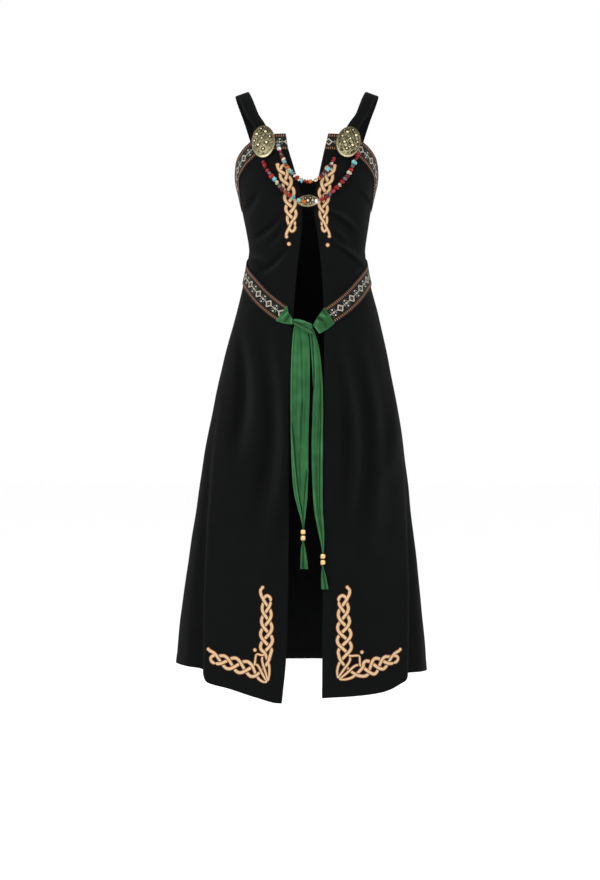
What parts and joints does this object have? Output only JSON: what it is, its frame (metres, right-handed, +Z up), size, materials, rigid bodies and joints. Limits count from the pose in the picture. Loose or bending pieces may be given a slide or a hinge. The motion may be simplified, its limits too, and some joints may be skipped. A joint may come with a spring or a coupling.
{
  "type": "apron dress",
  "caption": "Sleeveless open-front apron dress, hollow as worn, with ribbon edging, shoulder straps, oval brooches, bead strings, plait embroidery and a knotted ribbon belt with hanging ties.",
  "frame": {"origin": "Midway between the tops of the two shoulder straps, where the wearer's shoulders hold the dress up", "axes": "+Z up, +X towards the wearer's left, -Y out of the front"},
  "size_m": [0.5265, 0.3876, 1.2596],
  "materials": {
    "black_wool": "matt, slightly napped",
    "woven_ribbon": "jacquard weave in black, rust and cream",
    "peach_thread": "silky thread",
    "green_cloth": "matt",
    "bronze": "aged bronze with polished high points",
    "gilt": "polished",
    "mixed_beads": "mixed polished stone and glass beads"
  },
  "bodies": {
    "root": {"front_left": "black_wool", "front_right": "black_wool", "back": "black_wool", "strap_left": "black_wool", "strap_right": "black_wool", "trim_front_left": "woven_ribbon", "trim_front_right": "woven_ribbon", "trim_back": "woven_ribbon", "belt_band": "woven_ribbon", "embroidery_chest_left": "peach_thread", "embroidery_chest_right": "peach_thread", "embroidery_hem_left": "peach_thread", "embroidery_hem_right": "peach_thread", "brooch_left": "bronze", "brooch_right": "bronze", "clasp": "bronze", "bead_string_upper": "mixed_beads", "bead_string_lower": "mixed_beads", "belt_end_left": "green_cloth", "belt_end_right": "green_cloth", "belt_knot": "green_cloth", "tie_left": "green_cloth", "tie_right": "green_cloth", "tie_bead_left_upper": "gilt", "tie_bead_left_lower": "gilt", "tie_bead_right_upper": "gilt", "tie_bead_right_lower": "gilt"}
  },
  "joints": []
}
